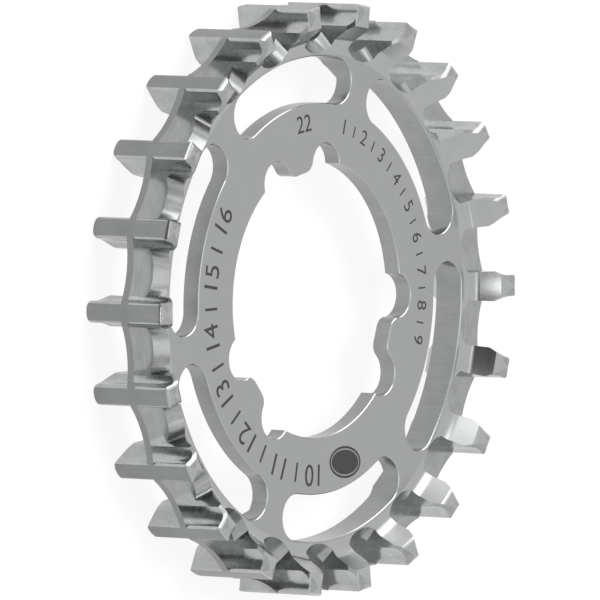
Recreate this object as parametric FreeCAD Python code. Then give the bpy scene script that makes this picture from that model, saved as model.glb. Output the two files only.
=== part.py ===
import FreeCAD, Part
import math
import os

# Belt drive sprocket, one piece of stainless steel.
# +Z is the axle and points out of the marked face; the origin is on the axle, halfway along the teeth.
# +Y points at a bore lug, which shares its direction with a slot and with a gap between two teeth.

# Belt side
TEETH = 22
BELT_PITCH = 11.0
TIP_BELOW_PITCH_LINE = 0.815
TOOTH_LENGTH = 12.0
TIP_WIDTH = 2.76
TIP_DEPTH = 0.85
RIDGE_WIDTH = 3.9
RIDGE_DEPTH = 2.95
FLANK_ROUND = 2.6
NECK_UNDERCUT = 4.0

# Ends of the teeth: a hollow rises from the rim into a steep slope, and a round nose reaches the full length
HOLLOW_ROUND = 2.6
HOLLOW_TURN = 57.0
NOSE_TURN = 36.0
NOSE_DEPTH = 1.1
FRONT_ROUND = 0.9
FRONT_ROUND_TURN = 60.0
CORNER_START = 0.9
CORNER_SLOPE = 56.0

# Fin that runs in the groove of the belt, and the valleys on both sides of it
FIN_THICKNESS = 1.0
FIN_DIP = 0.8
FIN_HEIGHT = 4.2
FLOOR_FLAT = 0.9
FLOOR_ROUND = 3.3

# Rim that carries the teeth, and the thinner disc with the spokes
RIM_THICKNESS = 4.0
RIM_LAND = 0.3
DISC_THICKNESS = 2.4
RIM_BACK_LAND = 0.6

# Slots
SLOTS = 6
SPOKE_WIDTH = 3.8
MARKED_BAND = 7.25

# Bore with driving lugs
BORE_RADIUS = 17.7
LUGS = 3
LUG_HEIGHT = 1.45
LUG_FLAT = 2.0
NOTCH_ROUND = 2.8
NOTCH_ANGLE = 17.65
NOTCH_SETBACK = 0.6

# Sizes that follow from the ones above
TIP_RADIUS = TEETH * BELT_PITCH / (2.0 * math.pi) - TIP_BELOW_PITCH_LINE
HALF_STEP = 180.0 / TEETH
FACE = RIM_THICKNESS / 2.0
FIN_HALF = FIN_THICKNESS / 2.0
HALF_LENGTH = TOOTH_LENGTH / 2.0
FIN_BOTTOM = TIP_RADIUS - FIN_DIP - FIN_HEIGHT
RIM_OUTER = FIN_BOTTOM - (FACE - FIN_HALF)
SLOT_OUTER = RIM_OUTER - RIM_LAND
SLOT_INNER = BORE_RADIUS + MARKED_BAND
DISC_BACK = FACE - DISC_THICKNESS

# Distance that a cutting shape reaches past the metal
CLEAR = 1.0


def polar(radius, degrees):
    turn = math.radians(degrees)
    return FreeCAD.Vector(radius * math.cos(turn), radius * math.sin(turn), 0)


def arc(first, middle, last):
    return Part.Arc(first, middle, last).toShape()


def arc_about(center, radius, start, end):
    points = [center + polar(radius, turn) for turn in (start, (start + end) / 2.0, end)]
    return arc(*points)


def line(first, last):
    return Part.makeLine(first, last)


def chain(points):
    return [line(first, last) for first, last in zip(points, points[1:])]


def face_of(edges):
    return Part.Face(Part.Wire(Part.__sortEdges__(edges)))


def turned(shape, degrees):
    copy = shape.copy()
    copy.rotate(FreeCAD.Vector(0, 0, 0), FreeCAD.Vector(0, 0, 1), degrees)
    return copy


def mirrored(shape):
    return shape.mirror(FreeCAD.Vector(0, 0, 0), FreeCAD.Vector(1, 0, 0))


def upright(edges, bottom, top):
    # Solid that stands on an outline drawn from above
    face = face_of(edges)
    face.translate(FreeCAD.Vector(0, 0, bottom))
    return face.extrude(FreeCAD.Vector(0, 0, top - bottom))


def crosswise(edges, half_width):
    # Solid that runs across a tooth, from an outline drawn in the plane of axle and tooth
    face = face_of(edges)
    face.translate(FreeCAD.Vector(-half_width, 0, 0))
    return face.extrude(FreeCAD.Vector(2.0 * half_width, 0, 0))


def blank():
    # Turned blank: disc, thicker rim with a sloping inner edge at the back, and the ring for the teeth
    length = HALF_LENGTH + CLEAR / 2.0
    step_outer = SLOT_OUTER - RIM_BACK_LAND
    step_inner = step_outer - (DISC_BACK + FACE)
    section = [(0, FACE), (RIM_OUTER, FACE), (RIM_OUTER, length), (TIP_RADIUS, length), (TIP_RADIUS, -length),
               (RIM_OUTER, -length), (RIM_OUTER, -FACE), (step_outer, -FACE), (step_inner, DISC_BACK),
               (0, DISC_BACK), (0, FACE)]
    edges = chain([FreeCAD.Vector(radius, 0, z) for radius, z in section])
    return face_of(edges).revolve(FreeCAD.Vector(0, 0, 0), FreeCAD.Vector(0, 0, 1), 360)


def neck_half_width(radius):
    # Under the ridge the neck gets narrower towards the rim
    return RIDGE_WIDTH / 2.0 - (TIP_RADIUS - RIDGE_DEPTH - radius) * math.tan(math.radians(NECK_UNDERCUT))


def flank():
    # Right flank of a tooth that points along +Y: narrow tip, hollow down to a ridge, undercut neck
    low = RIM_OUTER - HALF_LENGTH - CLEAR
    tip_end = FreeCAD.Vector(TIP_WIDTH / 2.0, TIP_RADIUS - TIP_DEPTH, 0)
    ridge = FreeCAD.Vector(RIDGE_WIDTH / 2.0, TIP_RADIUS - RIDGE_DEPTH, 0)
    reach = ridge - tip_end
    inward = FreeCAD.Vector(reach.y, -reach.x, 0).normalize()
    sag = FLANK_ROUND - math.sqrt(FLANK_ROUND ** 2 - (reach.Length / 2.0) ** 2)
    tip = line(FreeCAD.Vector(tip_end.x, TIP_RADIUS + CLEAR, 0), tip_end)
    hollow = arc(tip_end, tip_end + reach / 2.0 + inward * sag, ridge)
    neck = line(ridge, FreeCAD.Vector(neck_half_width(low), low, 0))
    return [tip, hollow, neck]


def valley():
    # Gap between two teeth in front of the fin, with its middle on +Y; its floor slopes at 45 degrees
    left = [turned(edge, HALF_STEP) for edge in flank()]
    edges = left + [mirrored(edge) for edge in left]
    for end in (left[0].Vertexes[0].Point, left[-1].Vertexes[-1].Point):
        edges.append(line(end, FreeCAD.Vector(-end.x, end.y, 0)))
    top = HALF_LENGTH + CLEAR
    gap = upright(edges, FIN_HALF, top)
    side = valley_side(top - FIN_HALF)
    return gap.common(side).common(mirrored(side))


def valley_side(length):
    # Space above the floor and beside the left wall of a gap; the floor rises to the wall in a wide round
    wall_turn = HALF_STEP - NECK_UNDERCUT
    turn = math.radians(wall_turn)
    inward = FreeCAD.Vector(math.cos(turn), math.sin(turn), 0)
    from_axle = neck_half_width(0) * math.cos(math.radians(NECK_UNDERCUT))
    center = FreeCAD.Vector(-FLOOR_FLAT / 2.0, FIN_BOTTOM + FLOOR_ROUND, 0)
    to_wall = center.dot(inward) - from_axle
    wall_angle = wall_turn + 180.0 + math.degrees(math.acos(to_wall / FLOOR_ROUND))
    wall = center + polar(FLOOR_ROUND, wall_angle)
    floor = center - FreeCAD.Vector(0, FLOOR_ROUND, 0)
    far = FreeCAD.Vector(TIP_RADIUS / 2.0, FIN_BOTTOM, 0)
    beside = wall - inward * RIDGE_WIDTH
    outside = 2.0 * TIP_RADIUS
    edges = [arc_about(center, FLOOR_ROUND, wall_angle, 270.0)]
    edges += chain([floor, far, FreeCAD.Vector(far.x, outside, 0), FreeCAD.Vector(beside.x, outside, 0), beside, wall])
    face = face_of(edges)
    face.translate(FreeCAD.Vector(0, 0, FIN_HALF))
    return face.extrude(FreeCAD.Vector(math.tan(turn), -1.0, 1.0) * length)


def fin_edge():
    # Round hollow in the edge of the fin, from one tooth tip to the next
    corner_turn = math.degrees(math.asin(TIP_WIDTH / 2.0 / TIP_RADIUS))
    left = polar(TIP_RADIUS, 90.0 + HALF_STEP - corner_turn)
    right = FreeCAD.Vector(-left.x, left.y, 0)
    rise = FreeCAD.Vector(0, 2.0 * CLEAR, 0)
    edges = [arc(left, FreeCAD.Vector(0, TIP_RADIUS - FIN_DIP, 0), right)]
    edges += chain([right, right + rise, left + rise, left])
    return upright(edges, -FIN_THICKNESS, FIN_THICKNESS)


def rise_edges():
    # Profile of a tooth end from the rim face to the full length: hollow, steep slope, nose
    hollow_turn = math.radians(HOLLOW_TURN)
    nose_turn = math.radians(NOSE_TURN)
    start = FreeCAD.Vector(0, RIM_OUTER, FACE)
    end = FreeCAD.Vector(0, TIP_RADIUS - NOSE_DEPTH, HALF_LENGTH)

    def on_hollow(turn):
        return start + HOLLOW_ROUND * FreeCAD.Vector(0, math.sin(turn), 1.0 - math.cos(turn))

    def on_nose(turn, radius):
        return end - radius * FreeCAD.Vector(0, math.sin(turn), 1.0 - math.cos(turn))

    # The slope and the nose share what is left between the hollow and the end
    bend = on_hollow(hollow_turn)
    rest = end - bend
    determinant = math.cos(hollow_turn) * (1.0 - math.cos(nose_turn)) - math.sin(nose_turn) * math.sin(hollow_turn)
    nose_round = (math.cos(hollow_turn) * rest.z - math.sin(hollow_turn) * rest.y) / determinant
    joint = on_nose(nose_turn, nose_round)
    hollow = arc(start, on_hollow(hollow_turn / 2.0), bend)
    nose = arc(joint, on_nose(nose_turn / 2.0, nose_round), end)
    return start, [hollow, line(bend, joint), nose], end


def front_round(nose_end, outside):
    # Round between the front end of a tooth and its tip, then straight on past the tip
    center = FreeCAD.Vector(0, TIP_RADIUS - FRONT_ROUND, HALF_LENGTH - FRONT_ROUND)
    turns = [math.radians(turn) for turn in (0, FRONT_ROUND_TURN / 2.0, FRONT_ROUND_TURN)]
    begin, middle, end = [center + FRONT_ROUND * FreeCAD.Vector(0, math.sin(turn), math.cos(turn)) for turn in turns]
    past = FreeCAD.Vector(0, outside, end.z - (outside - end.y) * math.tan(turns[2]))
    return [line(nose_end, begin), arc(begin, middle, end), line(end, past)], past


def tooth_end(is_front):
    # Shape that leaves the front end of the tooth on +Y
    start, edges, nose_end = rise_edges()
    top = HALF_LENGTH + CLEAR
    outside = TIP_RADIUS + CLEAR
    low = RIM_OUTER - CLEAR
    if is_front:
        rounding, past = front_round(nose_end, outside)
        edges += rounding
    else:
        past = FreeCAD.Vector(0, outside, HALF_LENGTH)
        edges.append(line(nose_end, past))
    edges += chain([past, FreeCAD.Vector(0, outside, top), FreeCAD.Vector(0, low, top),
                    FreeCAD.Vector(0, low, FACE), start])
    half_gap_to_gap = (RIM_OUTER + CLEAR) * math.tan(math.radians(HALF_STEP))
    return crosswise(edges, half_gap_to_gap).fuse(tooth_corners())


def tooth_corners():
    # Shape that slants both corners of a tooth end, seen from outside
    side = RIDGE_WIDTH / 2.0 + CLEAR
    top = HALF_LENGTH + CLEAR
    slant = math.tan(math.radians(CORNER_SLOPE))
    start = CORNER_START - CLEAR / slant
    low = HALF_LENGTH - (side - CORNER_START) * slant
    edges = chain([FreeCAD.Vector(start, 0, top), FreeCAD.Vector(side, 0, low), FreeCAD.Vector(side, 0, top),
                   FreeCAD.Vector(start, 0, top)])
    face = face_of(edges)
    face.translate(FreeCAD.Vector(0, RIM_OUTER, 0))
    corner = face.extrude(FreeCAD.Vector(0, TIP_RADIUS + CLEAR - RIM_OUTER, 0))
    return corner.fuse(mirrored(corner))


def at_the_back(shape):
    return shape.mirror(FreeCAD.Vector(0, 0, 0), FreeCAD.Vector(0, 0, 1))


def tooth_tools():
    # Everything that is cut away around one tooth and the gap beside it
    gap = valley()
    gap_shapes = [gap, at_the_back(gap), fin_edge()]
    tooth_shapes = [tooth_end(True), at_the_back(tooth_end(False))]
    tools = []
    for index in range(TEETH):
        turn = index * 2.0 * HALF_STEP
        tools += [turned(shape, turn) for shape in gap_shapes]
        tools += [turned(shape, turn + HALF_STEP) for shape in tooth_shapes]
    return tools


def slot():
    # Curved slot with full-round ends, with its middle on +Y
    middle = (SLOT_INNER + SLOT_OUTER) / 2.0
    end_round = (SLOT_OUTER - SLOT_INNER) / 2.0
    spoke_turn = math.degrees(math.asin((end_round + SPOKE_WIDTH / 2.0) / middle))
    half_turn = 180.0 / SLOTS - spoke_turn
    edges = []
    for side in (1.0, -1.0):
        turn = 90.0 + side * half_turn
        tip = polar(middle, turn) + polar(end_round, turn + side * 90.0)
        edges.append(arc(polar(SLOT_OUTER, turn), tip, polar(SLOT_INNER, turn)))
    for radius in (SLOT_INNER, SLOT_OUTER):
        edges.append(arc_about(FreeCAD.Vector(0, 0, 0), radius, 90.0 - half_turn, 90.0 + half_turn))
    return upright(edges, -FACE - CLEAR, FACE + CLEAR)


def lug_side():
    # Right half of a lug that points along +Y: half of its flat, its corner and the notch beside it
    top = BORE_RADIUS - LUG_HEIGHT
    notch = polar(BORE_RADIUS - NOTCH_SETBACK, 90.0 - NOTCH_ANGLE)
    flat_end = FreeCAD.Vector(LUG_FLAT / 2.0, top, 0)
    reach = notch - flat_end
    corner_round = (reach.Length ** 2 - NOTCH_ROUND ** 2) / (2.0 * (NOTCH_ROUND + reach.y))
    corner = flat_end + FreeCAD.Vector(0, corner_round, 0)
    touch_turn = math.degrees(math.atan2(notch.y - corner.y, notch.x - corner.x))
    cosine = (notch.Length ** 2 + BORE_RADIUS ** 2 - NOTCH_ROUND ** 2) / (2.0 * notch.Length * BORE_RADIUS)
    mouth_turn = 90.0 - NOTCH_ANGLE - math.degrees(math.acos(cosine))
    mouth = polar(BORE_RADIUS, mouth_turn) - notch
    edges = [arc_about(corner, corner_round, -90.0, touch_turn)]
    edges.append(arc_about(notch, NOTCH_ROUND, touch_turn + 180.0, math.degrees(math.atan2(mouth.y, mouth.x))))
    return edges, flat_end, mouth_turn


def bore():
    half, flat_end, mouth_turn = lug_side()
    edges = half + [mirrored(edge) for edge in half]
    edges.append(line(flat_end, FreeCAD.Vector(-flat_end.x, flat_end.y, 0)))
    pitch = 360.0 / LUGS
    edges.append(arc_about(FreeCAD.Vector(0, 0, 0), BORE_RADIUS, mouth_turn, 180.0 - mouth_turn - pitch))
    outline = [turned(edge, index * pitch) for index in range(LUGS) for edge in edges]
    return upright(outline, -FACE - CLEAR, FACE + CLEAR)


def sprocket():
    body = blank().cut(tooth_tools())
    openings = [turned(slot(), index * 360.0 / SLOTS) for index in range(SLOTS)]
    openings.append(bore())
    return body.cut(openings).removeSplitter()


os.makedirs("parts", exist_ok=True)
shape = sprocket()
shape.exportStep("parts/sprocket.step")
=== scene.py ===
import math
import bpy
from bpy.props import FloatProperty, FloatVectorProperty, IntProperty, PointerProperty
from bpy.types import Operator, Panel, PropertyGroup
from mathutils import Matrix, Vector


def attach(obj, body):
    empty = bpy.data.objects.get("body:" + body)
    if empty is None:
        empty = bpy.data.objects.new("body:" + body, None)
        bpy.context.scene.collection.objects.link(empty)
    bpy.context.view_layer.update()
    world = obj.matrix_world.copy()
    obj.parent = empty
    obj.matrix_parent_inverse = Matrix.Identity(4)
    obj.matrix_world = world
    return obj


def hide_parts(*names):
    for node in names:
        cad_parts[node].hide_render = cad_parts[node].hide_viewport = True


bl_info = {
    "name": "Belt drive sprocket",
    "version": (1, 0, 0),
    "blender": (4, 5, 0),
    "location": "3D View > Sidebar > Sprocket",
    "description": "Belt drive sprocket of machined stainless steel on a white studio floor",
    "category": "Add Mesh",
}

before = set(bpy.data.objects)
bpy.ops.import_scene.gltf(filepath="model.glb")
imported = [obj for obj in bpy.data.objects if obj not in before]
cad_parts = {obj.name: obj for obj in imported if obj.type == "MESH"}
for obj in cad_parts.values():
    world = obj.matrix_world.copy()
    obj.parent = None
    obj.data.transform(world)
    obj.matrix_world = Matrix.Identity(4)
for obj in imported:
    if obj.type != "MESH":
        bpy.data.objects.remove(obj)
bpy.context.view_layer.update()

AXLE = Vector((0, 0, 1))
CENTRE = Vector((0, 0, 0))

# The pieces are drawn in millimetres and scaled down at the end
TO_METRES = (0.001, 0.001, 0.001)
MERGE = 0.0005  # points nearer than this are one point
SEAM_MERGE = 0.002  # the same where ring, disc and the copies of a tooth meet
CLEAR = 1  # how far a cutter reaches past what it cuts
GUARD = 0.02  # keeps the joint of ring and disc, and the floor of a gap, off edges that they would just touch
ON_PLANE = 0.01  # a point this near to a height or radius lies on it
SEAM_TURN = 0.0001  # the same for the angle of a seam between two teeth
OFF_ROUND = 0.05  # how far the facets of the crest, and points in the edge of the fin, lie inside the full size
ALONG = 0.9  # a face whose normal has at least this share along a direction faces it
WALL = 0.3  # and one with less than this share along the axle is a wall
SMOOTH_TURN = math.radians(22)  # faces that meet at less than this are shaded as one
BURR_TURN = math.radians(50)  # edges that turn by more than this are deburred

# Steps of the arcs. The ones of slots and bore are per radian, and grow with the root of the radius.
SECTOR_STEPS = 24
CREST_STEPS, FLANK_STEPS, FLOOR_STEPS, FIN_STEPS = 6, 12, 14, 16
HOLLOW_STEPS, NOSE_STEPS, FRONT_STEPS, CORNER_STEPS = 10, 8, 8, 14
OPENING_STEPS = 15

# The finishes of the steel, in the order of the sprocket's material slots
FINISHES = ("ground_stainless_steel", "turned_stainless_steel", "milled_stainless_steel_flank",
            "milled_stainless_steel_valley", "turned_stainless_steel_crest", "milled_stainless_steel_wall",
            "deburred_stainless_steel")
GROUND_FACE, TURNED_END, MILLED_FLANK, MILLED_VALLEY, TOOTH_CREST, MILLED_WALL, BROKEN_EDGE = range(7)

PATTERN_RADIUS = 0.0345  # where a pattern has its true size round the axle, in metres: at the teeth

# Marks on the face, in millimetres and in degrees from +X
MARK_THICKNESS = 0.02
MARK_RADIUS = 22.3
TEETH_MARK_RADIUS, TEETH_MARK_ANGLE, TEETH_MARK_SIZE = 22.4, -34, 2.2
INDEX_NUMBERS = [(count, -56 - 11.4 * (count - 1), 1.9) for count in range(1, 10)]
INDEX_NUMBERS += [(count, 137 - 19.4 * (count - 10), 2.8) for count in range(10, 17)]
INDEX_TICKS = [(-61.7 - 11.4 * index, 1.3) for index in range(8)]
INDEX_TICKS += [(127.3 - 19.4 * index, 2.2) for index in range(6)]
TICK_WIDTH = 0.16  # share of the length of a tick
OVAL_RADIUS, OVAL_ANGLE, OVAL_TILT = 21.9, 154.4, -18.5
OVAL_HALF_WIDTH, OVAL_HALF_HEIGHT, OVAL_BORDER, OVAL_LINE = 3.3, 2.05, 0.3, 0.16

# Camera fitted to the photograph: degrees off the axle, upward, roll and turn about the axle, then the scale at the
# face, how much of it a millimetre of depth takes away, and where the axle is, in pixels from the middle
PHOTO_PIXELS = 600
CAMERA_TURNS = (53.1195, 3.6355, -0.3059, -130.6432)
PIXELS_PER_MM, LOSS_PER_MM = 7.86639, 0.000473
AXLE_RIGHT, AXLE_UP = 17.3725, 1.1361
CAMERA_AIM, CAMERA_DISTANCE = Vector((0, 0, 0.002)), 2.1142
SENSOR_WIDTH = 36

FLOOR_HEIGHT = -0.0061  # just under the teeth
# Studio screens: degrees to the right and up from the camera, width and height in degrees, radiance, distance in
# metres and the share that fades out. A softbox is above a radiance of 1, which is white, and a flag below it.
SCREENS = {
    "softbox_right": (62, 48, 60, 46, 2.6, 1.3, 0.5),
    "softbox_far_right": (104, 56, 26, 30, 2.6, 1.3, 0.5),
    "softbox_top": (-26, 52, 70, 34, 2.4, 1.3, 0.5),
    "grey_flag": (-62, 0, 60, 90, 0.55, 1.2, 0.5),
    "dark_flag": (-12, 8, 50, 58, 0.09, 1.1, 0.4),
    "upper_strip_light": (10, 60, 30, 50, 1.3, 1.0, 0.6),
    "strip_light": (17, -2, 5, 84, 2.2, 1.0, 0.6),
    "small_softbox": (-8, -7, 9, 8, 5, 1.0, 0.6),
    "softbox_behind": (-130, 52, 40, 30, 2.6, 1.3, 0.5),
    "upper_small_softbox": (-8, 28, 5, 5, 3, 1.0, 0.7),
}


def length(name, description, millimetres):
    return FloatProperty(name=name, description=description, default=millimetres / 1000, min=0, precision=5,
                         subtype="DISTANCE", unit="LENGTH")


def turn(name, description, degrees):
    return FloatProperty(name=name, description=description, default=math.radians(degrees), subtype="ANGLE",
                         unit="ROTATION")


def linear(hex_colour):
    # sRGB hex value as linear colour
    parts = [int(hex_colour[start:start + 2], 16) / 255 for start in (1, 3, 5)]
    return tuple(part / 12.92 if part <= 0.04045 else ((part + 0.055) / 1.055) ** 2.4 for part in parts)


def colour(name, description, hex_colour):
    return FloatVectorProperty(name=name, description=description, default=linear(hex_colour), min=0, max=1,
                               subtype="COLOR")


class BeltSideSizes(PropertyGroup):
    teeth: IntProperty(name="Teeth", description="Number of teeth", default=22, min=8)
    tip_radius: length("Tip radius", "From the axle to the tooth tips", 37.7)
    tooth_length: length("Tooth length", "Along the axle", 12)
    tip_width: length("Tip width", "Width of a tooth at its tip", 2.76)
    tip_depth: length("Tip depth", "Straight part of the flank under the tip", 0.85)
    ridge_width: length("Ridge width", "Widest place of a tooth", 3.9)
    ridge_depth: length("Ridge depth", "From the tip down to the widest place", 2.95)
    crest_round: length("Crest round", "Round between the tip and the flanks", 0.4)
    flank_round: length("Flank round", "Radius of the hollow between tip and ridge", 2.6)
    neck_undercut: turn("Neck undercut", "Slant of the neck under the ridge", 4)
    corner_start: length("Corner start", "From the middle of a tooth to the round of its end corners", 0.2)
    corner_round: length("Corner round", "Round between the ends of a tooth and its flanks", 1.6)
    corner_slope: turn("Corner slope", "Slant of the end corners beyond their round", 62)
    front_round: length("Front round", "Round between the front end and the tip", 0.9)
    hollow_round: length("Hollow round", "Radius of the hollow that rises from the rim", 2.6)
    hollow_turn: turn("Hollow turn", "Slope at the end of the hollow", 57)
    nose_turn: turn("Nose turn", "Angle that the nose turns through", 36)
    nose_depth: length("Nose depth", "From the tip down to the end of the nose", 1.1)
    burr_round: length("Burr round", "Round left on the sharp edges by deburring", 0.07)
    fin_thickness: length("Fin thickness", "Thickness of the middle fin", 1)
    fin_dip: length("Fin dip", "Depth of the hollow edge of the fin", 0.8)
    fin_height: length("Fin height", "From the floor of a gap to the edge of the fin", 4.2)
    floor_flat: length("Floor flat", "Flat middle of the floor of a gap", 0.9)
    floor_round: length("Floor round", "Radius between the floor and the neck", 3.3)


class DiscSizes(PropertyGroup):
    rim_thickness: length("Rim thickness", "Thickness under the teeth", 4)
    disc_thickness: length("Disc thickness", "Thickness of the spokes and the marked band", 2.4)
    back_land: length("Back land", "Flat of the rim at the back, outside its sloping edge", 0.6)
    slots: IntProperty(name="Slots", description="Number of slots", default=6, min=2)
    slot_outer: length("Slot outer radius", "From the axle to the outer wall of a slot", 30.9)
    slot_inner: length("Slot inner radius", "From the axle to the inner wall of a slot", 24.95)
    spoke_width: length("Spoke width", "Narrowest width of a spoke", 3.8)
    bore_radius: length("Bore radius", "From the axle to the wall of the bore", 17.7)
    lugs: IntProperty(name="Lugs", description="Number of driving lugs", default=3, min=1)
    lug_height: length("Lug height", "How far a lug reaches into the bore", 1.45)
    lug_flat: length("Lug flat", "Flat top of a lug", 2)
    notch_round: length("Notch round", "Radius of the notches beside a lug", 2.8)
    notch_turn: turn("Notch angle", "From the middle of a lug to a notch", 17.65)
    notch_setback: length("Notch setback", "From the wall of the bore to the centre of a notch", 0.6)
    edge_break: length("Edge break", "Width of the broken edges of slots and bore", 0.11)


class FinishColours(PropertyGroup):
    face: colour("Ground face", "Satin face with the marks", "#B3B5B4")
    ends: colour("Turned ends", "Polished ends of the teeth", "#BCBEBD")
    flanks: colour("Flanks and gaps", "Milled flanks and gaps of the teeth", "#AEB0AF")
    # The crests are darker than the rest of the steel as painted shade, standing in for the darker reflections on
    # them
    crest: colour("Crests", "Tips of the teeth", "#878988")
    # The walls are darker than the face as painted shade inside the slots and the bore
    walls: colour("Walls", "Walls of the slots and of the bore", "#959796")
    marks: colour("Marks", "Laser marks on the face", "#4A4A4C")
    floor: colour("Floor", "Studio floor", "#F4F4F4")


def mm(size):
    return size * 1000


def deselect():
    bpy.ops.object.select_all(action="DESELECT")


def edit(mode="VERT"):
    bpy.ops.object.mode_set(mode="EDIT")
    bpy.ops.mesh.select_mode(type=mode)


def leave_edit():
    bpy.ops.object.mode_set(mode="OBJECT")


def only(piece):
    deselect()
    piece.select_set(True)
    bpy.context.view_layer.objects.active = piece


def draw(name, start, strokes, axis=AXLE):
    # Draws a closed outline from a single point: a stroke is the end of a straight line, or the centre of an
    # arc with the angle that it turns through and its steps
    deselect()
    bpy.ops.mesh.primitive_plane_add(size=1)
    piece = bpy.context.object
    piece.name = name
    edit()
    bpy.ops.mesh.select_all(action="SELECT")
    bpy.ops.mesh.merge(type="CENTER")
    bpy.ops.transform.translate(value=start)
    place = start
    for stroke in strokes:
        if isinstance(stroke, Vector):
            bpy.ops.mesh.extrude_vertices_move(TRANSFORM_OT_translate={"value": stroke - place})
            place = stroke
        else:
            centre, angle, steps = stroke
            bpy.ops.mesh.spin(steps=steps, angle=-angle, center=centre, axis=axis)
            place = centre + Matrix.Rotation(angle, 3, axis) @ (place - centre)
    merge()
    return piece


def merge(distance=MERGE):
    bpy.ops.mesh.select_all(action="SELECT")
    bpy.ops.mesh.remove_doubles(threshold=distance)


def fill():
    bpy.ops.mesh.select_all(action="SELECT")
    bpy.ops.mesh.edge_face_add()


def tidy_normals():
    bpy.ops.mesh.select_all(action="SELECT")
    bpy.ops.mesh.normals_make_consistent(inside=False)


def raise_by(offset):
    bpy.ops.mesh.extrude_region_move(TRANSFORM_OT_translate={"value": offset})


def raise_closed(offset):
    # Makes a closed body of the drawn outline
    fill()
    raise_by(offset)
    tidy_normals()
    leave_edit()


def finish_of(piece, index):
    for face in piece.data.polygons:
        face.material_index = index


def give_slots(piece, materials):
    piece.data.materials.clear()
    for material in materials:
        piece.data.materials.append(material)


def combine(piece, other, operation, crossing=False):
    # Boolean of two closed meshes; the second one is used up, and may cross itself if crossing is set
    only(piece)
    modifier = piece.modifiers.new("combine", "BOOLEAN")
    modifier.operation = operation
    modifier.solver = "EXACT"
    modifier.use_self = crossing
    modifier.object = other
    bpy.ops.object.modifier_apply(modifier=modifier.name)
    bpy.data.objects.remove(other, do_unlink=True)
    if not piece.data.polygons:
        raise RuntimeError(f"{piece.name}: nothing is left after {operation.lower()}")


def turned_copy(piece, angle, flip=(1, 1, 1)):
    # Copy with its own mesh, turned about the axle and mirrored along the axes whose flip is -1
    copy = piece.copy()
    copy.data = piece.data.copy()
    bpy.context.collection.objects.link(copy)
    only(copy)
    copy.scale = flip
    copy.rotation_euler = (0, 0, angle)
    bpy.ops.object.transform_apply()
    edit()
    tidy_normals()
    leave_edit()
    return copy


def join(pieces):
    deselect()
    for piece in pieces:
        piece.select_set(True)
    bpy.context.view_layer.objects.active = pieces[0]
    bpy.ops.object.join()
    return bpy.context.object


def polar(radius, angle):
    return Vector((radius * math.cos(angle), radius * math.sin(angle), 0))


class Tooth:
    """Sizes of a tooth in millimetres, and what follows from them."""

    def __init__(self, sizes, disc):
        self.half_step = math.pi / sizes.teeth
        self.tip = mm(sizes.tip_radius)
        self.end = mm(sizes.tooth_length) / 2
        self.fin = mm(sizes.fin_thickness) / 2
        self.face = mm(disc.rim_thickness) / 2
        self.floor = self.tip - mm(sizes.fin_dip) - mm(sizes.fin_height)
        self.rim = self.floor - (self.face - self.fin)
        self.join = self.rim - GUARD
        self.undercut = sizes.neck_undercut
        self.ridge = Vector((mm(sizes.ridge_width) / 2, self.tip - mm(sizes.ridge_depth), 0))
        self.tip_end = Vector((mm(sizes.tip_width) / 2, self.tip - mm(sizes.tip_depth), 0))
        self.low = self.rim - self.end - CLEAR

    def neck(self, radius):
        return self.ridge.x - (self.ridge.y - radius) * math.tan(self.undercut)


class SPROCKET_OT_body(Operator):
    """Adds the steel body: toothed ring and slotted disc in one piece"""
    bl_idname = "sprocket.add_body"
    bl_label = "Steel body"

    def execute(self, context):
        sizes, disc = context.scene.belt_side, context.scene.disc
        materials = [bpy.data.materials[name] for name in FINISHES]
        tooth = Tooth(sizes, disc)
        body = join([toothed_ring(tooth, sizes, materials), slotted_disc(tooth, disc, materials)])
        body.name = "sprocket_body"
        body.data.name = "sprocket_body"
        edit()
        merge(SEAM_MERGE)
        bpy.ops.mesh.select_all(action="DESELECT")
        bpy.ops.mesh.select_non_manifold()
        leave_edit()
        if any(vertex.select for vertex in body.data.vertices):
            self.report({"WARNING"}, "The body has open edges")
        edit()
        tidy_normals()
        leave_edit()
        body.scale = TO_METRES
        bpy.ops.object.transform_apply()
        bpy.ops.object.shade_smooth_by_angle(angle=SMOOTH_TURN)
        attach(body, "root")
        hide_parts("sprocket")
        return {"FINISHED"}


def rise(tooth, sizes):
    # Strokes of a tooth end from the rim face to the nose, in the plane of axle and tooth
    hollow_turn, nose_turn = sizes.hollow_turn, sizes.nose_turn
    hollow_round = mm(sizes.hollow_round)
    start = Vector((0, tooth.rim, tooth.face))
    end = Vector((0, tooth.tip - mm(sizes.nose_depth), tooth.end))
    cosine, sine = math.cos(hollow_turn), math.sin(hollow_turn)
    rest = end - start - hollow_round * Vector((0, sine, 1 - cosine))
    determinant = cosine * (1 - math.cos(nose_turn)) - math.sin(nose_turn) * sine
    nose_round = (cosine * rest.z - sine * rest.y) / determinant
    joint = end - nose_round * Vector((0, math.sin(nose_turn), 1 - math.cos(nose_turn)))
    hollow = (start + Vector((0, 0, hollow_round)), hollow_turn, HOLLOW_STEPS)
    nose = (end - Vector((0, 0, nose_round)), -nose_turn, NOSE_STEPS)
    return start, hollow, joint, nose, end


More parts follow.
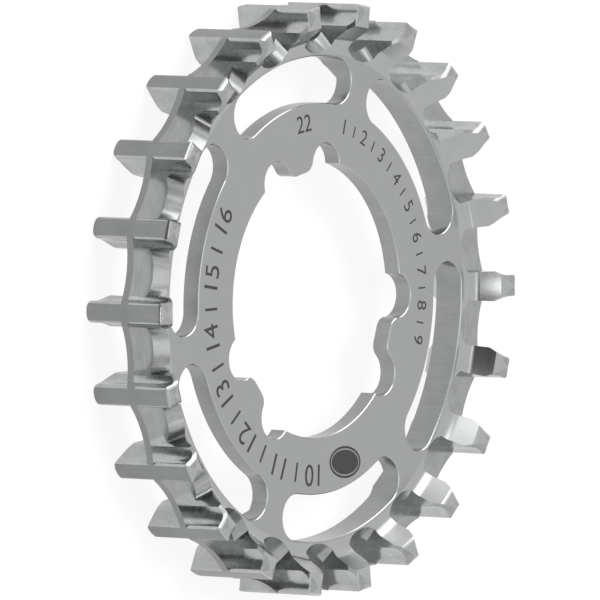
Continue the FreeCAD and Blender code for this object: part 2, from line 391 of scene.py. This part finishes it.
def tooth_sector(tooth, sizes, materials):
    # One step of the ring as it comes from the lathe, with its middle on +Y
    start, hollow, joint, nose, end = rise(tooth, sizes)
    front_round = mm(sizes.front_round)
    front = tooth.tip - front_round
    to_back = Matrix.Diagonal((1, 1, -1))
    hollow_end = hollow[0] + Matrix.Rotation(hollow[1], 3, "X") @ (start - hollow[0])
    strokes = [start, hollow, joint, nose, Vector((0, front, tooth.end)),
               (Vector((0, front, tooth.end - front_round)), -math.pi / 2, FRONT_STEPS),
               Vector((0, tooth.tip, -tooth.end)), to_back @ end, (to_back @ nose[0], *nose[1:]),
               to_back @ hollow_end, (to_back @ hollow[0], *hollow[1:]), Vector((0, tooth.join, -tooth.face))]
    sector = draw("ring", Vector((0, tooth.join, tooth.face)), strokes, axis=Vector((1, 0, 0)))
    fill()
    bpy.ops.mesh.spin(steps=SECTOR_STEPS, angle=2 * tooth.half_step, center=CENTRE, axis=AXLE)
    tidy_normals()
    leave_edit()
    sector.rotation_euler = (0, 0, tooth.half_step)
    bpy.ops.object.transform_apply()
    give_slots(sector, materials)
    for face in sector.data.polygons:
        radius = math.hypot(face.center.x, face.center.y)
        face.material_index = TOOTH_CREST if radius > tooth.tip - OFF_ROUND else TURNED_END
        if radius < tooth.rim:
            face.material_index = GROUND_FACE
    return sector


def valley(tooth, sizes, materials):
    # What the cutter takes away between two teeth in front of the fin, with its middle on +Y
    reach = tooth.ridge - tooth.tip_end
    flank_round, crest_round = mm(sizes.flank_round), mm(sizes.crest_round)
    inward = Vector((reach.y, -reach.x, 0)).normalized()
    half_turn = math.asin(reach.length / 2 / flank_round)
    flank_centre = (tooth.tip_end + tooth.ridge) / 2 - inward * flank_round * math.cos(half_turn)
    crest_centre = Vector((tooth.tip_end.x - crest_round, tooth.tip - crest_round, 0))
    crest = crest_centre + Vector((0, crest_round, 0))
    places = {
        "above": crest + Vector((0, CLEAR, 0)), "crest": crest, "crest_centre": crest_centre,
        "shoulder": crest_centre + Vector((crest_round, 0, 0)), "tip_end": tooth.tip_end,
        "flank_centre": flank_centre, "foot": Vector((tooth.neck(tooth.low), tooth.low, 0)),
        "ridge": tooth.ridge}
    turn_left = Matrix.Rotation(tooth.half_step, 3, "Z")
    flip = Matrix.Diagonal((-1, 1, 1))
    left = {name: turn_left @ place + Vector((0, 0, tooth.fin)) for name, place in places.items()}
    right = {name: flip @ place for name, place in left.items()}
    side = 1 if (flank_centre - tooth.tip_end).cross(tooth.ridge - flank_centre).z < 0 else -1
    flank_turn = side * 2 * half_turn
    strokes = [left["crest"], (left["crest_centre"], -math.pi / 2, CREST_STEPS), left["tip_end"],
               (left["flank_centre"], flank_turn, FLANK_STEPS), left["foot"], right["foot"], right["ridge"],
               (right["flank_centre"], flank_turn, FLANK_STEPS), right["shoulder"],
               (right["crest_centre"], -math.pi / 2, CREST_STEPS), right["above"]]
    gap = draw("gap", left["above"], strokes)
    raise_closed((0, 0, tooth.end + CLEAR / 2 - tooth.fin))
    give_slots(gap, materials)
    finish_of(gap, MILLED_FLANK)
    floor = valley_floor(tooth, sizes)
    give_slots(floor, materials)
    finish_of(floor, MILLED_VALLEY)
    other = turned_copy(floor, 0, flip=(-1, 1, 1))
    combine(gap, floor, "INTERSECT")
    combine(gap, other, "INTERSECT")
    return gap


def end_corner(tooth, sizes, materials):
    # What slants and rounds the right corner of the front end of a tooth on +Y, seen from outside
    corner_round, slope = mm(sizes.corner_round), sizes.corner_slope
    bottom = tooth.rim - CLEAR
    centre = Vector((mm(sizes.corner_start), bottom, tooth.end - corner_round))
    side = tooth.ridge.x + CLEAR
    bend = centre + Matrix.Rotation(slope, 3, "Y") @ Vector((0, 0, corner_round))
    far = Vector((side, bottom, bend.z - (side - bend.x) * math.tan(slope)))
    start = centre + Vector((0, 0, corner_round))
    strokes = [(centre, slope, CORNER_STEPS), far, Vector((side, bottom, tooth.end + CLEAR)),
               Vector((start.x, bottom, tooth.end + CLEAR))]
    cutter = draw("corner", start, strokes, axis=Vector((0, 1, 0)))
    raise_closed((0, tooth.tip + 2 * CLEAR - tooth.rim, 0))
    give_slots(cutter, materials)
    finish_of(cutter, MILLED_FLANK)
    return cutter


def valley_floor(tooth, sizes):
    # Space above the sloping floor and beside the left wall of a gap; the floor meets the wall in a wide round
    floor_round = mm(sizes.floor_round)
    flat = mm(sizes.floor_flat) / 2
    bottom = tooth.floor + GUARD
    wall_turn = tooth.half_step - tooth.undercut
    inward = polar(1, wall_turn)
    centre = Vector((-flat, bottom + floor_round, 0))
    to_wall = centre.dot(inward) - tooth.neck(0) * math.cos(tooth.undercut)
    wall_angle = wall_turn + math.pi + math.acos(to_wall / floor_round)
    wall = centre + polar(floor_round, wall_angle)
    beside = wall - inward * 4 * CLEAR
    outside = 2 * tooth.tip
    lift = Vector((0, 0, tooth.fin))
    strokes = [(centre + lift, 1.5 * math.pi - wall_angle, FLOOR_STEPS)]
    strokes += [Vector((x, y, 0)) + lift for x, y in ((outside / 4, bottom), (outside / 4, outside),
                                                      (beside.x, outside), (beside.x, beside.y))]
    floor = draw("floor", wall + lift, strokes)
    raise_closed(Vector((math.tan(wall_turn), -1, 1)) * (tooth.end + 2 * CLEAR))
    return floor


def fin_edge(tooth, sizes, materials):
    # What is cut away outside the hollow edge of the fin, from one tooth tip to the next
    corner = math.asin(tooth.tip_end.x / tooth.tip)
    left = polar(tooth.tip, math.pi / 2 + tooth.half_step - corner)
    right = Vector((-left.x, left.y, 0))
    sag = left.y - (tooth.tip - mm(sizes.fin_dip))
    radius = (left.x ** 2 + sag ** 2) / (2 * sag)
    half_turn = math.asin(-left.x / radius)
    centre = Vector((0, left.y - sag + radius, -CLEAR))
    up = Vector((0, 2 * CLEAR, 0))
    down = Vector((0, 0, -CLEAR))
    strokes = [(centre, 2 * half_turn, FIN_STEPS), right + up + down, left + up + down]
    cutter = draw("fin_edge", left + down, strokes)
    raise_closed((0, 0, 2 * CLEAR))
    give_slots(cutter, materials)
    finish_of(cutter, TOOTH_CREST)
    return cutter


def toothed_ring(tooth, sizes, materials):
    sector = tooth_sector(tooth, sizes, materials)
    gap = valley(tooth, sizes, materials)
    edge = fin_edge(tooth, sizes, materials)
    corner = end_corner(tooth, sizes, materials)
    gaps = [turned_copy(gap, side * tooth.half_step, flip=(1, 1, end)) for side in (-1, 1) for end in (-1, 1)]
    edges = [turned_copy(edge, side * tooth.half_step) for side in (-1, 1)]
    corners = [turned_copy(corner, 0, flip=(side, 1, end)) for side in (-1, 1) for end in (-1, 1)]
    for cutters in (gaps, edges, corners):
        combine(sector, join(cutters), "DIFFERENCE")
    for used in (gap, edge, corner):
        bpy.data.objects.remove(used, do_unlink=True)
    open_faces(sector, lambda face: is_seam(face.center, tooth) or is_inside(face, tooth.join))
    # Points on the seam in the edge of the fin have no partner on the next tooth
    pick_vertices(sector, lambda place: abs(place.z) < tooth.fin - OFF_ROUND and is_seam(place, tooth))
    bpy.ops.mesh.dissolve_verts()
    leave_edit()
    modifier = sector.modifiers.new("burr", "BEVEL")
    modifier.width, modifier.segments = mm(sizes.burr_round), 2
    modifier.limit_method, modifier.angle_limit = "ANGLE", BURR_TURN
    bpy.ops.object.modifier_apply(modifier=modifier.name)
    sector.rotation_euler = (0, 0, tooth.half_step)
    bpy.ops.object.transform_apply()
    edit()
    bpy.ops.mesh.select_all(action="SELECT")
    copies = sizes.teeth - 1
    bpy.ops.mesh.spin(steps=copies, angle=2 * tooth.half_step * copies, dupli=True, center=CENTRE, axis=AXLE)
    leave_edit()
    return sector


def is_seam(place, tooth):
    # True on both planes that part one tooth with its half gaps from the next
    return abs(math.atan2(abs(place.x), place.y) - tooth.half_step) < SEAM_TURN


def is_inside(face, radius):
    # True for a face that lies on the round of this radius
    outward = face.center.xy.normalized()
    return abs(face.center.xy.length - radius) < ON_PLANE and abs(outward.dot(face.normal.xy)) > ALONG


def open_faces(piece, chosen):
    only(piece)
    edit("FACE")
    bpy.ops.mesh.select_all(action="DESELECT")
    leave_edit()
    for face in piece.data.polygons:
        face.select = chosen(face)
    edit("FACE")
    bpy.ops.mesh.delete(type="FACE")
    leave_edit()


def pick_vertices(piece, chosen):
    only(piece)
    edit()
    bpy.ops.mesh.select_all(action="DESELECT")
    leave_edit()
    for vertex in piece.data.vertices:
        vertex.select = chosen(vertex.co)
    edit()


def outline(arcs):
    # Strokes along a row of arcs; a straight line joins two that don't touch
    strokes = []
    for centre, radius, first, last in arcs:
        steps = max(4, round(abs(last - first) * OPENING_STEPS * math.sqrt(radius)))
        strokes += [centre + polar(radius, first), (centre, last - first, steps)]
    return strokes


def flared_cutter(name, arcs, levels, materials):
    # Cutter for an opening with broken edges: its outline grows at each height by the given amount
    strokes = outline(arcs)
    cutter = draw(name, strokes[0], strokes[1:])
    fill()
    bpy.ops.transform.translate(value=(0, 0, levels[0][0]))
    for low, high in zip(levels, levels[1:]):
        raise_by((0, 0, high[0] - low[0]))
    tidy_normals()
    leave_edit()
    open_faces(cutter, lambda face: abs(face.normal.z) > ALONG)
    for height, grow in levels:
        pick_vertices(cutter, lambda place: abs(place.z - height) < ON_PLANE)
        bpy.ops.transform.shrink_fatten(value=grow, use_even_offset=True)
        leave_edit()
    for height in (levels[0][0], levels[-1][0]):
        pick_vertices(cutter, lambda place: abs(place.z - height) < ON_PLANE)
        bpy.ops.mesh.edge_face_add()
        leave_edit()
    edit()
    tidy_normals()
    leave_edit()
    give_slots(cutter, materials)
    for face in cutter.data.polygons:
        face.material_index = MILLED_WALL if abs(face.normal.z) < WALL else BROKEN_EDGE
    return cutter


def slot_arcs(disc):
    # Curved slot with full-round ends, with its middle on +Y
    outer, inner = mm(disc.slot_outer), mm(disc.slot_inner)
    middle, end_round = (outer + inner) / 2, (outer - inner) / 2
    half_turn = math.pi / disc.slots - math.asin((end_round + mm(disc.spoke_width) / 2) / middle)
    left, right = math.pi / 2 + half_turn, math.pi / 2 - half_turn
    return [(CENTRE, outer, right, left),
            (polar(middle, left), end_round, left, left + math.pi),
            (CENTRE, inner, left, right),
            (polar(middle, right), end_round, right + math.pi, right + 2 * math.pi)]


def bore_arcs(disc):
    # Wall of the bore with a rounded lug and two notches at every third of a turn, the first lug on +Y
    bore, notch_round = mm(disc.bore_radius), mm(disc.notch_round)
    notch = polar(bore - mm(disc.notch_setback), math.pi / 2 - disc.notch_turn)
    flat_end = Vector((mm(disc.lug_flat) / 2, bore - mm(disc.lug_height), 0))
    reach = notch - flat_end
    corner_round = (reach.length_squared - notch_round ** 2) / (2 * (notch_round + reach.y))
    corner = flat_end + Vector((0, corner_round, 0))
    touch = math.atan2(notch.y - corner.y, notch.x - corner.x)
    cosine = (notch.length_squared + bore ** 2 - notch_round ** 2) / (2 * notch.length * bore)
    mouth_turn = math.pi / 2 - disc.notch_turn - math.acos(cosine)
    mouth = polar(bore, mouth_turn) - notch
    mouth_angle = math.atan2(mouth.y, mouth.x)
    pitch = 2 * math.pi / disc.lugs
    half = [(corner, corner_round, -math.pi / 2, touch), (notch, notch_round, touch + math.pi, mouth_angle)]
    other = [(Vector((-centre.x, centre.y, 0)), radius, math.pi - last, math.pi - first)
             for centre, radius, first, last in reversed(half)]
    wall = (CENTRE, bore, mouth_turn, math.pi - mouth_turn - pitch)
    arcs = []
    for index in range(disc.lugs):
        back = Matrix.Rotation(-index * pitch, 3, "Z")
        for centre, radius, first, last in other + half + [wall]:
            arcs.append((back @ centre, radius, first - index * pitch, last - index * pitch))
    return arcs


def slotted_disc(tooth, disc, materials):
    back = tooth.face - mm(disc.disc_thickness)
    step_outer = mm(disc.slot_outer) - mm(disc.back_land)
    step_inner = step_outer - (back + tooth.face)
    inner = mm(disc.bore_radius) - mm(disc.lug_height) - CLEAR
    section = [(inner, tooth.face), (tooth.join, tooth.face), (tooth.join, -tooth.face),
               (step_outer, -tooth.face), (step_inner, back), (inner, back)]
    places = [Vector((0, radius, height)) for radius, height in section]
    plate = draw("plate", places[0], places[1:] + places[:1])
    bpy.ops.mesh.select_all(action="SELECT")
    steps = SECTOR_STEPS * round(math.pi / tooth.half_step)
    bpy.ops.mesh.spin(steps=steps, angle=2 * math.pi, center=CENTRE, axis=AXLE)
    merge()
    tidy_normals()
    leave_edit()
    give_slots(plate, materials)
    finish_of(plate, GROUND_FACE)
    broken = mm(disc.edge_break)
    past = 0.1 * CLEAR
    top = [(tooth.face - broken, 0), (tooth.face + past, broken + past)]
    slot = flared_cutter("slot", slot_arcs(disc), [(-tooth.face - CLEAR, 0)] + top, materials)
    bottom = [(back - past, broken + past), (back + broken, 0)]
    bore = flared_cutter("bore", bore_arcs(disc), bottom + top, materials)
    pitch = 2 * math.pi / disc.slots
    slots = [turned_copy(slot, index * pitch) for index in range(disc.slots)]
    bpy.data.objects.remove(slot, do_unlink=True)
    combine(plate, bore, "DIFFERENCE", crossing=True)
    combine(plate, join(slots), "DIFFERENCE")
    open_faces(plate, lambda face: is_inside(face, tooth.join))
    return plate


# Shader nodes

def add(tree, kind, settings=None, inputs=None):
    # Adds a node with its settings, and sets or links its inputs
    node = tree.nodes.new(kind)
    for name, value in (settings or {}).items():
        setattr(node, name, value)
    for name, value in (inputs or {}).items():
        if isinstance(value, bpy.types.NodeSocket):
            tree.links.new(value, node.inputs[name])
        else:
            node.inputs[name].default_value = value
    return node


def new_material(name):
    material = bpy.data.materials.new(name)
    material.use_nodes = True
    material.node_tree.nodes.clear()
    return material, material.node_tree


def round_the_axle(tree):
    # Place on the sprocket in millimetres: round the axle at the teeth, away from it, and along it
    place = add(tree, "ShaderNodeTexCoord").outputs["Object"]
    parts = add(tree, "ShaderNodeSeparateXYZ", inputs={0: place})
    flat = add(tree, "ShaderNodeVectorMath", {"operation": "MULTIPLY"}, {0: place, 1: (1, 1, 0)})
    radius = add(tree, "ShaderNodeVectorMath", {"operation": "LENGTH"}, {0: flat.outputs[0]}).outputs["Value"]
    angle = add(tree, "ShaderNodeMath", {"operation": "ARCTAN2"},
                {0: parts.outputs["Y"], 1: parts.outputs["X"]})
    arc = add(tree, "ShaderNodeMath", {"operation": "MULTIPLY"}, {0: angle.outputs[0], 1: PATTERN_RADIUS})
    place = add(tree, "ShaderNodeCombineXYZ", inputs={0: arc.outputs[0], 1: radius, 2: parts.outputs["Z"]})
    scaled = add(tree, "ShaderNodeVectorMath", {"operation": "SCALE"}, {0: place.outputs[0], "Scale": 1000})
    return scaled.outputs[0]


def map_noise(tree, value, low, high, to_low, to_high):
    return add(tree, "ShaderNodeMapRange", inputs={"Value": value, "From Min": low, "From Max": high,
                                                   "To Min": to_low, "To Max": to_high}).outputs[0]


def steel(finish, tone, roughness, spread, grain, depth, tint):
    # Stainless steel with tool marks. Their size (round the axle, away from it and along it) and depth are in
    # millimetres; spread and tint are how far roughness and tone stray from their middle.
    tree = new_material(FINISHES[finish])[1]
    place = round_the_axle(tree)
    scaled = add(tree, "ShaderNodeVectorMath", {"operation": "MULTIPLY"},
                 {0: place, 1: tuple(1 / size for size in grain)})
    marks = add(tree, "ShaderNodeTexNoise", inputs={"Vector": scaled.outputs[0], "Scale": 1, "Detail": 3,
                                                    "Roughness": 0.6}).outputs["Fac"]
    clouds = add(tree, "ShaderNodeTexNoise", inputs={"Vector": place, "Scale": 0.35, "Detail": 2})
    rough = map_noise(tree, marks, 0.3, 0.7, roughness - spread, roughness + spread)
    mixed = add(tree, "ShaderNodeMath", {"operation": "ADD"}, {0: marks, 1: clouds.outputs["Fac"]})
    shade = map_noise(tree, mixed.outputs[0], 0.6, 1.4, 1 - tint, 1 + tint)
    shaded = add(tree, "ShaderNodeVectorMath", {"operation": "SCALE"}, {0: tuple(tone), "Scale": shade})
    bump = add(tree, "ShaderNodeBump", inputs={"Height": marks, "Strength": 1, "Distance": depth / 1000})
    shader = add(tree, "ShaderNodeBsdfPrincipled", inputs={"Metallic": 1, "Base Color": shaded.outputs[0],
                                                           "Roughness": rough, "Normal": bump.outputs[0]})
    add(tree, "ShaderNodeOutputMaterial", inputs={"Surface": shader.outputs[0]})


def make_finishes(colours):
    # The marks of a fine tool lie about 0.1 mm apart. Most are drawn two to five times coarser, because the
    # picture has only eight pixels to a millimetre.
    # Ground with a fine grit: short even scratches give a satin grey in which nothing is mirrored clearly
    steel(GROUND_FACE, colours.face, 0.33, 0.03, grain=(0.25, 0.25, 0.25), depth=0.0005, tint=0.02)
    # Turned with a feed of 0.12 mm, as real: long fine lines round the axle, with bright and dark reflections
    steel(TURNED_END, colours.ends, 0.17, 0.03, grain=(6, 0.12, 0.12), depth=0.0010, tint=0.05)
    # Milled with the side of a cutter: smears along the flank, cloudy light and dark patches
    steel(MILLED_FLANK, colours.flanks, 0.2, 0.05, grain=(1.5, 0.5, 0.5), depth=0.0022, tint=0.16)
    # Milled in one pass down the slope of the floor: broad streaks that break up the reflections
    steel(MILLED_VALLEY, colours.flanks, 0.19, 0.05, grain=(0.35, 1.6, 1.6), depth=0.0026, tint=0.2)
    # Turned and then worn dull by handling and the belt, with lines along the tooth; its darker tone is painted
    # shade for the darker reflections on the crests
    steel(TOOTH_CREST, colours.crest, 0.3, 0.04, grain=(0.22, 0.3, 4), depth=0.0008, tint=0.1)
    # Cut through with an end mill: straight lines along the axle; the dark grey tone is painted shade inside the
    # slots and the bore
    steel(MILLED_WALL, colours.walls, 0.24, 0.04, grain=(0.35, 0.35, 4), depth=0.0014, tint=0.1)
    # Edges broken with a small chamfer: thin and bright
    steel(BROKEN_EDGE, colours.ends, 0.2, 0.03, grain=(0.4, 0.4, 0.4), depth=0.0008, tint=0.05)


def laser_ink(name, mark_colour):
    # Laser-blackened stainless steel: an oxide layer that looks dark grey and dull, a little uneven from the
    # beam, whose lines of 0.05 mm are drawn as spots of 0.17 mm
    material, tree = new_material(name)
    place = round_the_axle(tree)
    spots = add(tree, "ShaderNodeTexNoise", inputs={"Vector": place, "Scale": 6, "Detail": 3})
    shade = map_noise(tree, spots.outputs["Fac"], 0.3, 0.7, 0.8, 1.25)
    tone = add(tree, "ShaderNodeVectorMath", {"operation": "SCALE"}, {0: tuple(mark_colour), "Scale": shade})
    shader = add(tree, "ShaderNodeBsdfPrincipled", inputs={"Metallic": 0.6, "Base Color": tone.outputs[0],
                                                           "Roughness": 0.55})
    add(tree, "ShaderNodeOutputMaterial", inputs={"Surface": shader.outputs[0]})
    return material


def place_mark(mark, radius, degrees, height, tilt=0):
    # Puts a flat mark drawn at the origin on the face, with its top away from the axle
    only(mark)
    angle = math.radians(degrees)
    mark.location = polar(radius, angle) + Vector((0, 0, height))
    mark.rotation_euler = (0, 0, angle - math.pi / 2 + math.radians(tilt))
    bpy.ops.object.transform_apply()
    return mark


def thicken():
    # Makes a flat mark as thick as the marks are, half of it under the face
    bpy.ops.transform.translate(value=(0, 0, -MARK_THICKNESS / 2))
    raise_by((0, 0, MARK_THICKNESS))
    tidy_normals()
    leave_edit()


def add_number(text, radius, degrees, size, height):
    deselect()
    bpy.ops.object.text_add()
    number = bpy.context.object
    number.data.body = text
    number.data.align_x, number.data.align_y = "CENTER", "CENTER"
    number.data.extrude = 0.5
    bpy.ops.object.convert(target="MESH")
    number = bpy.context.object
    grow = size / number.dimensions.y
    number.scale = (grow, grow, MARK_THICKNESS)
    bpy.ops.object.transform_apply()
    edit()
    merge()
    tidy_normals()
    leave_edit()
    return place_mark(number, radius, degrees, height)


def add_tick(radius, degrees, size, height):
    # Short radial line with round ends
    end = Vector((0, size / 2, 0))
    right = Vector((size * TICK_WIDTH / 2, 0, 0))
    tick = draw("tick", right - end, [right + end, (end, math.pi, 6), -right - end, (-end, math.pi, 6)])
    fill()
    thicken()
    return place_mark(tick, radius, degrees, height)


def add_oval(height):
    # Plain dark oval with a thin bare line inside its edge
    deselect()
    bpy.ops.mesh.primitive_circle_add(vertices=64, radius=1, fill_type="NGON")
    oval = bpy.context.object
    oval.scale = (OVAL_HALF_WIDTH, OVAL_HALF_HEIGHT, 1)
    bpy.ops.object.transform_apply()
    edit("FACE")
    bpy.ops.mesh.select_all(action="SELECT")
    bpy.ops.mesh.inset(thickness=OVAL_BORDER)
    bpy.ops.mesh.inset(thickness=OVAL_LINE)
    leave_edit()

    def is_bare(face):
        across = face.center.x / (OVAL_HALF_WIDTH - OVAL_BORDER)
        upward = face.center.y / (OVAL_HALF_HEIGHT - OVAL_BORDER)
        return len(face.vertices) == 4 and math.hypot(across, upward) < 1

    open_faces(oval, is_bare)
    edit("FACE")
    bpy.ops.mesh.select_all(action="SELECT")
    thicken()
    return place_mark(oval, OVAL_RADIUS, OVAL_ANGLE, height, OVAL_TILT)


class SPROCKET_OT_marks(Operator):
    """Adds the laser marks: the tooth count, plain index numbers and a plain oval"""
    bl_idname = "sprocket.add_marks"
    bl_label = "Laser marks"

    def execute(self, context):
        face = mm(context.scene.disc.rim_thickness) / 2
        teeth = str(context.scene.belt_side.teeth)
        marks = [add_number(teeth, TEETH_MARK_RADIUS, TEETH_MARK_ANGLE, TEETH_MARK_SIZE, face)]
        marks += [add_number(str(count), MARK_RADIUS, angle, size, face) for count, angle, size in INDEX_NUMBERS]
        marks += [add_tick(MARK_RADIUS, angle, size, face) for angle, size in INDEX_TICKS]
        marks.append(add_oval(face))
        piece = join(marks)
        piece.name = piece.data.name = "laser_marks"
        piece.scale = TO_METRES
        bpy.ops.object.transform_apply()
        give_slots(piece, [laser_ink("laser_marked_stainless_steel", context.scene.finish_colours.marks)])
        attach(piece, "root")
        return {"FINISHED"}


class SPROCKET_OT_finishes(Operator):
    """Makes the finishes of the steel"""
    bl_idname = "sprocket.add_finishes"
    bl_label = "Finishes"

    def execute(self, context):
        make_finishes(context.scene.finish_colours)
        return {"FINISHED"}


def camera_axes():
    # Right, up and back of the camera that sees the sprocket as the photograph does
    azimuth, elevation, roll, spin = [math.radians(angle) for angle in CAMERA_TURNS]
    back = Vector((-math.sin(azimuth) * math.cos(elevation), math.sin(elevation),
                   math.cos(azimuth) * math.cos(elevation)))
    side = Vector((0, 1, 0)).cross(back).normalized()
    up = back.cross(side)
    turned = Matrix.Rotation(spin, 3, "Z")
    right = turned @ (math.cos(roll) * side + math.sin(roll) * up)
    return right, turned @ (math.cos(roll) * up - math.sin(roll) * side), turned @ back


def add_camera():
    right, up, back = camera_axes()
    deselect()
    bpy.ops.object.camera_add()
    camera = bpy.context.object
    place = Matrix((right, up, back)).transposed().to_4x4()
    place.translation = CAMERA_AIM + back * CAMERA_DISTANCE
    camera.matrix_world = place
    camera.data.sensor_width = SENSOR_WIDTH
    camera.data.lens = SENSOR_WIDTH * PIXELS_PER_MM / LOSS_PER_MM / PHOTO_PIXELS
    camera.data.shift_x = -AXLE_RIGHT / PHOTO_PIXELS
    camera.data.shift_y = -AXLE_UP / PHOTO_PIXELS
    camera.data.clip_end = 100
    bpy.context.scene.camera = camera


def from_camera(across, upward):
    # Direction away from the sprocket, by its angles to the right and up from the camera
    right, up, back = camera_axes()
    across, upward = math.radians(across), math.radians(upward)
    return math.cos(upward) * (math.cos(across) * back + math.sin(across) * right) + math.sin(upward) * up


def add_lamp(name, place, size, power):
    # Soft lamp that lights the floor and the marks, and isn't mirrored in the steel
    deselect()
    bpy.ops.object.light_add(type="AREA", location=place)
    lamp = bpy.context.object
    lamp.name = name
    lamp.data.size = size
    lamp.data.energy = power
    lamp.rotation_euler = Vector(place).to_track_quat("Z", "Y").to_euler()
    lamp.visible_camera = False
    lamp.visible_glossy = False


def facing(place, toward):
    # Matrix at a place whose -Z looks back at the sprocket, with its Y as near to the camera's up as it can be
    side = camera_axes()[1].cross(toward).normalized()
    matrix = Matrix((side, toward.cross(side), toward)).transposed().to_4x4()
    matrix.translation = place
    return matrix


def add_screen(name, across, upward, width, height, radiance, distance, soft):
    # Studio screen that fills the given angles and only shows as a reflection in the steel; its edges fade out
    toward = from_camera(across, upward)
    deselect()
    bpy.ops.mesh.primitive_plane_add(size=2)
    screen = bpy.context.object
    screen.name = name
    half = [distance * math.tan(math.radians(angle) / 2) for angle in (width, height)]
    screen.matrix_world = facing(toward * distance, toward) @ Matrix.Diagonal((*half, 1, 1))
    material, tree = new_material(name)
    place = add(tree, "ShaderNodeTexCoord").outputs["Object"]
    reach = add(tree, "ShaderNodeVectorMath", {"operation": "LENGTH"}, {0: place}).outputs["Value"]
    fade = add(tree, "ShaderNodeMapRange", {"interpolation_type": "SMOOTHSTEP"},
               {"Value": reach, "From Min": 1 - soft, "From Max": 1, "To Min": 1, "To Max": 0})
    glow = add(tree, "ShaderNodeEmission", inputs={"Color": (1, 1, 1, 1), "Strength": radiance})
    clear = add(tree, "ShaderNodeBsdfTransparent")
    mixed = add(tree, "ShaderNodeMixShader",
                inputs={0: fade.outputs[0], 1: clear.outputs[0], 2: glow.outputs[0]})
    add(tree, "ShaderNodeOutputMaterial", inputs={"Surface": mixed.outputs[0]})
    screen.data.materials.append(material)
    screen.visible_camera = False
    screen.visible_diffuse = False
    screen.visible_shadow = False
    screen.visible_transmission = False


def seen_directly(tree):
    # 1 for camera, glossy and transmission rays
    path = add(tree, "ShaderNodeLightPath")
    either = add(tree, "ShaderNodeMath", {"operation": "MAXIMUM"},
                 {0: path.outputs["Is Camera Ray"], 1: path.outputs["Is Glossy Ray"]})
    return add(tree, "ShaderNodeMath", {"operation": "MAXIMUM"},
               {0: either.outputs[0], 1: path.outputs["Is Transmission Ray"]}).outputs[0]


def add_floor(floor_colour):
    # White paint that lights the sprocket as such; seen or mirrored it glows almost white, and keeps the shadow
    deselect()
    bpy.ops.mesh.primitive_circle_add(vertices=96, radius=12, fill_type="NGON", location=(0, 0, FLOOR_HEIGHT))
    floor = bpy.context.object
    floor.name = "studio_floor"
    material, tree = new_material("white_floor_paint")
    paint = add(tree, "ShaderNodeBsdfDiffuse", inputs={"Color": (*floor_colour, 1)})
    dim = add(tree, "ShaderNodeBsdfDiffuse", inputs={"Color": (0.2, 0.2, 0.2, 1)})
    glow = add(tree, "ShaderNodeEmission", inputs={"Strength": 0.86})
    white = add(tree, "ShaderNodeAddShader", inputs={0: dim.outputs[0], 1: glow.outputs[0]})
    either = add(tree, "ShaderNodeMixShader",
                 inputs={0: seen_directly(tree), 1: paint.outputs[0], 2: white.outputs[0]})
    add(tree, "ShaderNodeOutputMaterial", inputs={"Surface": either.outputs[0]})
    floor.data.materials.append(material)


def add_world():
    # White to the eye and in the steel, and a little dimmer as light
    world = bpy.data.worlds.new("studio_white")
    bpy.context.scene.world = world
    world.use_nodes = True
    tree = world.node_tree
    tree.nodes.clear()
    strength = add(tree, "ShaderNodeMapRange",
                   inputs={"Value": seen_directly(tree), "To Min": 0.7, "To Max": 1})
    white = add(tree, "ShaderNodeBackground", inputs={"Strength": strength.outputs[0]})
    add(tree, "ShaderNodeOutputWorld", inputs={"Surface": white.outputs[0]})


class SPROCKET_OT_stage(Operator):
    """Adds the camera, the white floor, the soft lamp and the studio screens"""
    bl_idname = "sprocket.add_stage"
    bl_label = "Studio"

    def execute(self, context):
        add_camera()
        add_world()
        add_floor(context.scene.finish_colours.floor)
        add_lamp("top_light", (0.35, -0.5, 1.1), size=0.8, power=9)
        for name, settings in SCREENS.items():
            add_screen(name, *settings)
        context.scene.view_settings.view_transform = "Standard"
        return {"FINISHED"}


class SPROCKET_PT_panel(Panel):
    """Sizes, colours and building steps of the sprocket"""
    bl_idname = "SPROCKET_PT_panel"
    bl_label = "Belt drive sprocket"
    bl_space_type = "VIEW_3D"
    bl_region_type = "UI"
    bl_category = "Sprocket"

    def draw(self, context):
        for name in GROUPS:
            group = getattr(context.scene, name)
            box = self.layout.box()
            for prop in group.__annotations__:
                box.prop(group, prop)
        for operator in STEPS:
            self.layout.operator(operator.bl_idname)


GROUPS = {"belt_side": BeltSideSizes, "disc": DiscSizes, "finish_colours": FinishColours}
STEPS = (SPROCKET_OT_finishes, SPROCKET_OT_body, SPROCKET_OT_marks, SPROCKET_OT_stage)
CLASSES = (*GROUPS.values(), *STEPS, SPROCKET_PT_panel)


def register():
    for item in CLASSES:
        bpy.utils.register_class(item)
    for name, group in GROUPS.items():
        setattr(bpy.types.Scene, name, PointerProperty(type=group))


def unregister():
    for name in GROUPS:
        delattr(bpy.types.Scene, name)
    for item in reversed(CLASSES):
        bpy.utils.unregister_class(item)


def main():
    register()
    bpy.ops.sprocket.add_finishes()
    bpy.ops.sprocket.add_body()
    bpy.ops.sprocket.add_marks()
    bpy.ops.sprocket.add_stage()


if __name__ == "__main__":
    main()
